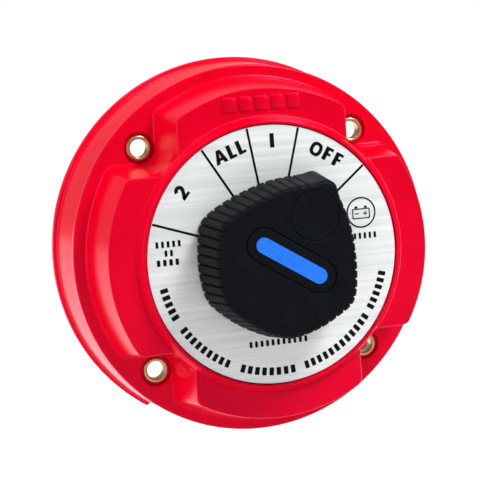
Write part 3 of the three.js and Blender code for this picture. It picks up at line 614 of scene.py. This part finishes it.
def oval(width, height, count=40, power=2.4):
    """A squarish oval, for round letters."""
    turn = np.arange(count) * 2 * math.pi / count
    c, s = np.cos(turn), np.sin(turn)
    return np.stack((np.sign(c) * np.abs(c) ** (2 / power) * width / 2,
                     np.sign(s) * np.abs(s) ** (2 / power) * height / 2), 1)


def stroked(path, width):
    """The outline of a line of one width drawn along a path."""
    sharpest = 0.6  # limits how far an outline reaches past a corner of the path
    path = np.asarray(path, float)
    ahead = np.diff(path, axis=0)
    ahead /= np.linalg.norm(ahead, axis=1, keepdims=True)
    along = np.concatenate((ahead[:1], (ahead[:-1] + ahead[1:]) / 2, ahead[-1:]))
    along /= np.linalg.norm(along, axis=1, keepdims=True)
    side = np.stack((-along[:, 1], along[:, 0]), 1)
    turn = np.ones(len(path))
    turn[1:-1] = np.maximum((along[1:-1] * ahead[:-1]).sum(1), sharpest)
    side = side / turn[:, None] * width / 2
    return np.concatenate((path + side, (path - side)[::-1]))


# Height of a position mark, and widths of its upright and level strokes
cap, stem, arm = 4.7, 1.45, 0.95
top, foot = cap / 2, -cap / 2


def letter_o():
    """The outer and inner outlines of an O."""
    return [oval(4.4, cap + 0.1), oval(1.9, cap - 2.1)]


def letter_f():
    left, right = -1.45, 1.45
    return [np.array([(left, foot), (left + stem, foot), (left + stem, -0.45),
                      (right - 0.35, -0.45), (right - 0.35, 0.45), (left + stem, 0.45),
                      (left + stem, top - arm), (right, top - arm), (right, top), (left, top)])]


def letter_l():
    left, right = -1.35, 1.35
    return [np.array([(left, foot), (right, foot), (right, foot + arm), (left + stem, foot + arm),
                      (left + stem, top), (left, top)])]


def letter_a():
    side, peak_half, leg = 2.2, 0.75, 1.35
    lean = (side - peak_half) / cap
    inner = lambda v: side - leg - (v - foot) * lean
    low, high, notch = foot + 0.95, foot + 1.95, top - 1.25
    left = [(-side, foot), (-side + leg, foot), (-inner(low), low), (-inner(high), high),
            (0, notch), (0, top), (-peak_half, top)]
    right = [(-u, v) for u, v in left]
    bridge = [(-inner(low), low), (inner(low), low), (inner(high), high), (-inner(high), high)]
    return [np.array(left), np.array(right), np.array(bridge)]


def digit_two():
    bowl, bowl_height, stroke = 1.15, 1.0, 1.25
    path = [(bowl * math.cos(a), bowl * math.sin(a) + bowl_height)
            for a in np.radians(np.linspace(165, -25, 12))]
    path += [(-0.05, -0.9), (-1.05, -1.75)]
    base = np.array([(-1.6, foot), (1.65, foot), (1.65, foot + arm), (-1.6, foot + arm)])
    return [stroked(path, stroke), base]


off_turn, all_turn, two_turn = math.radians(-33), math.radians(20), math.radians(51)
outer, inner = placed(letter_o(), (17.4, 34.1), off_turn)
marks = [band(outer, inner, ink_low, ink_high)]
for outlines, at, turn in (
    (letter_f(), (21.35, 32.0), off_turn), (letter_f(), (24.75, 29.8), off_turn),
    (letter_a(), (-16.25, 34.4), all_turn), (letter_l(), (-12.3, 35.85), all_turn),
    (letter_l(), (-9.0, 37.05), all_turn), (digit_two(), (-30.2, 23.75), two_turn),
    ([bar(1.5, 4.8, corner=0.05)], (2.0, 38.3), 0.0),
):
    marks += [ink(outline) for outline in placed(outlines, at, turn)]
points, faces = joined(marks)
make("dial_positions", points, faces, "case", black_ink)

# Plain blocks stand where the real dial has small print.
print_gap = 0.95


def row_of_print(length, pitch):
    """(offset, width) of the plain blocks that fill a row of one length."""
    count = max(1, round((length + print_gap) / pitch))
    step = (length + print_gap) / count
    return [((i + 0.5) * step - (length + print_gap) / 2, step - print_gap) for i in range(count)]


prints = []
arc_radius, arc_height, arc_pitch = 39.5, 2.7, 2.4
for start, end in ((-169.4, -153), (-147.5, -117.4), (-111.2, -83), (-77.8, -37.2), (-33.5, -14)):
    length = math.radians(end - start) * arc_radius
    for offset, width in row_of_print(length, arc_pitch):
        degrees = (start + end) / 2 + math.degrees(offset / arc_radius)
        prints.append(ink(bar(width, arc_height, polar(arc_radius, degrees),
                              math.radians(degrees + 90), 0.25)))
row_height, row_pitch = 2.1, 2.0
for x, y, length in ((-36.15, 7.3, 8.5), (-36.15, 4.3, 2.8), (-36.65, 1.25, 7.5),
                     (32.9, 3.3, 8.1), (-0.5, -29.5, 20.5)):
    for offset, width in row_of_print(length, row_pitch):
        prints.append(ink(bar(width, row_height, (x + offset, y), 0.0, 0.25)))
points, faces = joined(prints)
make("dial_small_print", points, faces, "case", black_ink)

# A plain ring with a battery outline, its two poles and a plus and a minus inside.
ring_at = np.array((32.0, 11.25))
symbol = [band(oval(10.6, 10.6, 48, 2) + ring_at, oval(9.5, 9.5, 48, 2) + ring_at, ink_low, ink_high),
          band(bar(6.4, 3.6, ring_at + (0, -0.4), corner=0.3),
               bar(5.6, 2.8, ring_at + (0, -0.4), corner=0.2), ink_low, ink_high)]
symbol += [ink(bar(1.1, 0.7, ring_at + (side, 1.8))) for side in (-1.7, 1.7)]
symbol += [ink(bar(1.4, 0.4, ring_at + (side, -0.4))) for side in (-1.5, 1.5)]
symbol += [ink(bar(0.4, 0.48, ring_at + (1.5, -0.4 + side * 0.45))) for side in (-1, 1)]
points, faces = joined(symbol)
make("dial_symbol", points, faces, "case", black_ink)

# Plain raised bars on the top pad.
raised = []
for place_in_row in (-2, -1, 0, 1, 2):
    at = (bar_pitch * place_in_row, bar_middle)
    outline = anticlockwise(bar(bar_width, bar_height, at, corner=0.7))
    face = anticlockwise(bar(bar_width - 0.4, bar_height - 0.4, at, corner=0.6))
    raised.append(swept([flat_ring(outline, pad_top - 0.3), flat_ring(outline, pad_top + bar_shoulder),
                         flat_ring(face, pad_top + bar_rise)], False))
points, faces = joined(raised)
make("housing_raised_bars", points, faces, "case", red_plastic, crease=60)


# ---------------------------------------------------------------- knob and badge

def knob_curve(count):
    """Points evenly spaced along the knob's closed outline, and its inward directions."""
    half = knob_half_outline
    outline = np.array(half + [(u, -v) for u, v in half[-2:0:-1]], float)
    n = len(outline)
    fine = []
    for i in range(n):
        a, b, c, d = (outline[(i + k) % n] for k in (-1, 0, 1, 2))
        for t in np.arange(40) / 40:
            fine.append(0.5 * (2 * b + (c - a) * t + (2 * a - 5 * b + 4 * c - d) * t * t
                               + (3 * b - a - 3 * c + d) * t ** 3))
    fine = np.array(fine + [fine[0]])
    run = np.append(0, np.cumsum(np.linalg.norm(np.diff(fine, axis=0), axis=1)))
    at = np.arange(count) / count * run[-1]
    points = np.stack([np.interp(at, run, fine[:, axis]) for axis in (0, 1)], 1)
    along = np.roll(points, -1, 0) - np.roll(points, 1, 0)
    along /= np.linalg.norm(along, axis=1, keepdims=True)
    return points, np.stack((-along[:, 1], along[:, 0]), 1)


points_per_rib = 14
groove_middle, groove_half = 0.84, 0.16  # as shares of a rib's pitch
first_groove = 0.03  # radians past the nose over which the grooves start
knob_points, knob_inward = knob_curve(rib_count * points_per_rib)
share = (np.arange(rib_count * points_per_rib) % points_per_rib) / points_per_rib
# The ribs are flat with rounded shoulders, and the pointer's nose has none.
groove = np.clip(1 - np.abs(share - groove_middle) / groove_half, 0, 1)
groove = groove * groove * (3 - 2 * groove)
bearing = np.arctan2(knob_points[:, 1], knob_points[:, 0])
groove *= np.clip((np.abs(bearing) - nose_half_angle) / first_groove, 0, 1)

# Level, size and share of the full groove depth, from the knob's foot up its flank and bevel
shoulder = knob_high - knob_bevel
bevel_start, bevel_steps, groove_fade_steps = shoulder + 0.25, 7, 4
rows = [(knob_low, knob_flare * 0.985, 1.0), (knob_low + 0.35, knob_flare, 1.0)]
for w in (knob_low + 5, knob_low + 10, shoulder - 1.6, shoulder - 0.3, bevel_start):
    rows.append((w, between(w, knob_low, knob_flare, shoulder, 1.0), 1.0))
for step in range(1, bevel_steps + 1):
    turn = step / bevel_steps * math.pi / 2
    size = 1 - (1 - knob_crown) * (1 - math.cos(turn)) ** 0.8 * 0.9
    depth = min(1.0, (bevel_steps - step) / groove_fade_steps)
    rows.append((bevel_start + (knob_high - bevel_start) * math.sin(turn), size, depth))
outer_rings = [
    flat_ring(knob_points * size + knob_inward * (groove * depth * rib_depth)[:, None], w)
    for w, size, depth in rows
]

# The knob is hollow round a boss with a stepped bore for the shaft.
hollow_top, bore_top, hollow_size = knob_high - 4.5, knob_high - 5.4, 0.86
boss_foot, boss_radius, bore_radius = knob_low + 2.3, 8.5, 5.3
circle = lambda radius, w: flat_ring(radius * np.stack((np.cos(bearing), np.sin(bearing)), 1), w)
inner_rings = [
    flat_ring(knob_points * hollow_size * 1.04, knob_low),
    flat_ring(knob_points * hollow_size * 1.03, knob_low + 0.4),
    flat_ring(knob_points * hollow_size, hollow_top),
    circle(boss_radius, hollow_top), circle(boss_radius, boss_foot + 0.3),
    circle(boss_radius - 0.3, boss_foot), circle(bore_radius, boss_foot), circle(bore_radius, bore_top),
]
points, faces = swept(inner_rings[::-1] + outer_rings, False)
del faces[-1]  # the flat end: the knob's top is made below


def pill(length, width, offset, count=16):
    """A pill's outline across the pointer axis, grown by an offset."""
    radius = width / 2 + offset
    reach = length / 2 - width / 2
    ends = []
    for sign in (1, -1):
        turn = np.linspace(0, math.pi, count) + (0 if sign > 0 else math.pi)
        ends.append(np.stack((radius * np.cos(turn), radius * np.sin(turn) + sign * reach), 1))
    return np.concatenate(ends)


def filled(points, rim, rings):
    """Points and triangles that close a rim, the last points of a mesh, through (outline, level) rings."""
    first = len(points) - rim
    flat_points = [tuple(point[:2]) for point in points[first:]]
    edges = [(i, (i + 1) % rim) for i in range(rim)]
    levels = [points[-1][2]] * rim
    for outline, w in rings:
        start, count = len(flat_points), len(outline)
        flat_points += [tuple(point) for point in outline]
        edges += [(start + i, start + (i + 1) % count) for i in range(count)]
        levels += [w] * count
    found, _, triangles, original, _, _ = delaunay_2d_cdt(
        [Vector(point) for point in flat_points], edges, [], 1, 1e-6)
    added, index = [], {}
    for i, sources in enumerate(original):
        source = min(sources)
        if source < rim:
            index[i] = first + source
        else:
            index[i] = len(points) + len(added)
            added.append((*found[i], levels[source]))
    points = np.concatenate((points, np.array(added)))
    faces = []
    for triangle in triangles:
        face = tuple(index[i] for i in triangle)
        a, b, c = (points[i][:2] for i in face)
        upward = (b[0] - a[0]) * (c[1] - a[1]) - (b[1] - a[1]) * (c[0] - a[0]) >= 0
        faces.append(face if upward else face[::-1])
    return points, faces


# The top's rings are the badge's recess, and a fine groove round the thumb dish with the dish inside it.
recess_floor = level("knob_badge", rear) - 0.3
top_rings = [(pill(badge_length, badge_width, badge_gap + wider), knob_high + rise)
             for wider, rise in ((0.28, 0), (0.1, -0.06), (0.0, -0.28), (-0.04, recess_floor - knob_high))]
turn = np.arange(40) * 2 * math.pi / 40
for radius, rise in (
    (thumb_radius + 0.7, 0.0), (thumb_radius + 0.5, -0.25), (thumb_radius + 0.2, -0.28),
    (thumb_radius - 0.05, 0.0), (thumb_radius * 0.85, -0.2), (thumb_radius * 0.65, -0.42),
    (thumb_radius * 0.4, -0.6), (thumb_radius * 0.15, -thumb_depth),
):
    outline = np.stack((thumb_at + radius * np.cos(turn), radius * np.sin(turn)), 1)
    top_rings.append((outline, knob_high + rise))
points, top_faces = filled(points, len(knob_points), top_rings)
points = turned_about_shaft(points, pointer)
make("knob_moulding", points, faces + top_faces, "selector", black_knob, crease=48,
     replaces=["knob"])

badge_rear, badge_front = level("knob_badge", rear), level("knob_badge", front)
badge_rings = [flat_ring(pill(badge_length, badge_width, offset), w)
               for offset, w in ((-0.05, badge_rear), (0, badge_rear + 0.1), (0, badge_front - 0.2),
                                 (-0.07, badge_front - 0.05), (-0.25, badge_front))]
points, faces = swept(badge_rings, False)
make("badge_inlay", turned_about_shaft(points, pointer), faces, "selector", black_knob,
     crease=60, replaces=["knob_badge"])
stripe = pill(stripe_length, stripe_width, 0)
points, faces = prism(stripe, badge_front - ink_sunk, badge_front + ink_thickness)
make("badge_stripe", turned_about_shaft(points, pointer), faces, "selector", blue_ink)


# ---------------------------------------------------------------- terminals and rear screws

def hex_nut(across_flats, bore, low, high, at, steps=72):
    """A hexagon nut with chamfered corners and a chamfered bore."""
    angle = np.arange(steps) * 2 * math.pi / steps
    sixth, apothem = math.pi / 3, across_flats / 2
    hexagon = apothem / np.cos((angle + sixth / 2) % sixth - sixth / 2)
    face, chamfer = apothem * 0.95, 0.45
    drop = (hexagon - apothem * 0.97).clip(0) * 0.55 + 0.1
    ring = lambda radius, w: np.column_stack((at[0] + radius * np.cos(angle), at[1] + radius * np.sin(angle),
                                              np.broadcast_to(w, angle.shape)))
    return swept([ring(bore, low + chamfer), ring(bore + chamfer, low), ring(face, low),
                  ring(hexagon, low + drop), ring(hexagon, high - drop),
                  ring(face, high), ring(bore + chamfer, high), ring(bore, high - chamfer)], True)


def threaded_stud(radius, head_radius, low, high, head_low, at, steps=48, rows_per_turn=8):
    """A stud whose thread is cut as one helix, with a round head at the front."""
    pitch, thread_depth, plain_neck, start = 1.59, 0.45, 1.2, 0.7
    angle = np.arange(steps) * 2 * math.pi / steps
    ring = lambda r, w: np.column_stack((at[0] + r * np.cos(angle), at[1] + r * np.sin(angle),
                                         np.full(steps, w)))
    centre = 0.01  # the flat ends run in to a ring this small
    rings = [ring(centre, low), ring(radius - 0.9, low)]
    for w in np.arange(low + start, head_low - plain_neck - 0.3, pitch / rows_per_turn):
        phase = (w / pitch - angle / (2 * math.pi)) % 1
        depth = thread_depth * (1 - np.abs(2 * phase - 1) * 1.25).clip(0, 1)
        fade = min(1, (w - low) / 2.5, (head_low - plain_neck - 0.2 - w) / 1.5)
        taper = max(0, 1.6 - (w - low)) * 0.5
        rings.append(ring(radius - taper - depth * max(fade, 0), w))
    rings += [ring(radius, head_low - plain_neck), ring(radius, head_low),
              ring(head_radius - 0.3, head_low), ring(head_radius, head_low + 0.3),
              ring(head_radius, high - 0.4), ring(head_radius - 0.4, high), ring(centre, high)]
    return swept(rings, False)


def split_washer(inner, width, low, high, at, steps=72):
    """A spring washer: one turn with a gap, its ends slightly out of line."""
    half_gap, most_lift = math.radians(9), 0.12
    rear_face, front_face, outer = low + 0.15, high - 0.15, inner + width
    section = anticlockwise(rounded([(inner, rear_face, 0.25), (outer, rear_face, 0.25),
                                     (outer, front_face, 0.25), (inner, front_face, 0.25)], 3))
    sections = []
    for angle in np.linspace(half_gap, 2 * math.pi - half_gap, steps):
        lift = most_lift * (angle / math.pi - 1)
        sections.append(np.stack((at[0] + section[:, 0] * math.cos(angle),
                                  at[1] + section[:, 0] * math.sin(angle), section[:, 1] + lift), 1))
    points, faces = swept(sections, False)
    return points, [face[::-1] for face in faces]


stud_radius, stud_head_radius, stud_head_depth = 4.76, 6.5, 3
nut_bore, nut_flats, washer_width = 5.0, 14.3, 3.0
for label in ("one", "two", "common"):
    low, high = span(f"stud_{label}")
    at = ((low + high) / 2)[:2]
    points, faces = threaded_stud(stud_radius, stud_head_radius, low[2], high[2],
                                  high[2] - stud_head_depth, at)
    make(f"stud_{label}_threaded", points, faces, "case", stud_brass, crease=35,
         replaces=[f"stud_{label}"])
    for kind in ("jam_nut", "terminal_nut"):
        node = f"{kind}_{label}"
        low, high = level(node, rear), level(node, front)
        points, faces = hex_nut(nut_flats, nut_bore, low, high, at)
        make(f"{node}_chamfered", points, faces, "case", stud_brass, crease=25,
             replaces=[node])
    node = f"lock_washer_{label}"
    points, faces = split_washer(nut_bore, washer_width, level(node, rear), level(node, front), at)
    make(f"{node}_split", points, faces, "case", steel, crease=40, replaces=[node])


# ---------------------------------------------------------------- floor, light and camera

azimuth, elevation, camera_roll = math.radians(-16.52), math.radians(6.72), math.radians(4.08)
back = Vector((math.sin(azimuth) * math.cos(elevation), -math.cos(azimuth) * math.cos(elevation),
               math.sin(elevation)))

# The floor is pale grey, and glows brighter from in front of the switch to behind it.
floor_level = cad_bounds[0][2] - 0.045
floor_half = 6.0
mesh = bpy.data.meshes.new("floor")
corners = [(x * floor_half, y * floor_half, floor_level)
           for x, y in ((-1, -1), (1, -1), (1, 1), (-1, 1))]
mesh.from_pydata(corners, [], [(0, 1, 2, 3)])
floor = bpy.data.objects.new("floor", mesh)
bpy.context.collection.objects.link(floor)
floor_pale = finish("floor_pale", (0.6, 0.6, 0.6), (0.64, 0.64, 0.64), (0.8, 0.9), grain=3)
tree = floor_pale.node_tree
shader = tree.nodes["Principled BSDF"]
shader.inputs["Emission Color"].default_value = (1, 1, 1, 1)
place = tree.nodes.new("ShaderNodeTexCoord")
split = tree.nodes.new("ShaderNodeSeparateXYZ")
glow = tree.nodes.new("ShaderNodeMapRange")
glow.interpolation_type = "SMOOTHSTEP"
for socket, value in (("From Min", -0.1), ("From Max", 0.12), ("To Min", 0.1), ("To Max", 0.95)):
    glow.inputs[socket].default_value = value
tree.links.new(place.outputs["Object"], split.inputs["Vector"])
tree.links.new(split.outputs["Y"], glow.inputs["Value"])
tree.links.new(glow.outputs["Result"], shader.inputs["Emission Strength"])
mesh.materials.append(floor_pale)

# A pale studio, with a bright white wall straight behind the switch.
world = bpy.data.worlds.new("studio")
bpy.context.scene.world = world
world.use_nodes = True
tree = world.node_tree
background = tree.nodes["Background"]
background.inputs["Color"].default_value = (1, 1, 1, 1)
direction = tree.nodes.new("ShaderNodeTexCoord")
facing_wall = tree.nodes.new("ShaderNodeVectorMath")
facing_wall.operation = "DOT_PRODUCT"
facing_wall.inputs[1].default_value = -back
shade = tree.nodes.new("ShaderNodeMapRange")
shade.interpolation_type = "SMOOTHSTEP"
for socket, value in (("From Min", 0.92), ("From Max", 0.972), ("To Min", 0.34), ("To Max", 1.03)):
    shade.inputs[socket].default_value = value
tree.links.new(direction.outputs["Generated"], facing_wall.inputs[0])
tree.links.new(facing_wall.outputs["Value"], shade.inputs["Value"])
tree.links.new(shade.outputs["Result"], background.inputs["Strength"])


def soft_light(name, place, aim, width, height, watts, colour=(1, 1, 1)):
    """A rectangular lamp at a place, in metres, turned to face a point."""
    data = bpy.data.lights.new(name, "AREA")
    data.shape, data.size, data.size_y = "RECTANGLE", width, height
    data.energy, data.color = watts, colour
    lamp = bpy.data.objects.new(name, data)
    bpy.context.collection.objects.link(lamp)
    place, aim = Vector(place), Vector(aim)
    lamp.location = place
    lamp.rotation_euler = (aim - place).to_track_quat("-Z", "Y").to_euler()


soft_light("key", (0.45, -0.5, 0.8), (0, -0.03, 0), 0.35, 0.35, 10)
soft_light("left_strip", (-0.9, -0.05, 0.2), (-0.05, -0.02, 0), 0.25, 0.8, 4, (1.0, 0.8, 1.0))
soft_light("low_fill", (0.5, -0.78, -0.36), (0, -0.03, 0), 0.1, 0.1, 5.5)
soft_light("top_strip", (-0.2, 0.1, 0.9), (0, -0.03, 0.05), 0.8, 0.25, 3, (1.0, 0.9, 1.0))

camera_distance = 0.59
aim = Vector((0.0033, 0.0021, 0.0001))
camera_data = bpy.data.cameras.new("camera")
camera_data.lens, camera_data.sensor_width = 121.25, 36
camera_data.clip_start, camera_data.clip_end = 0.01, 50
camera = bpy.data.objects.new("camera", camera_data)
bpy.context.collection.objects.link(camera)
facing = (-back).to_track_quat("-Z", "Y").to_matrix().to_4x4()
roll = Matrix.Rotation(-camera_roll, 4, "Z")
camera.matrix_world = Matrix.Translation(aim + back * camera_distance) @ facing @ roll
scene = bpy.context.scene
scene.camera = camera
scene.view_settings.view_transform = "Standard"
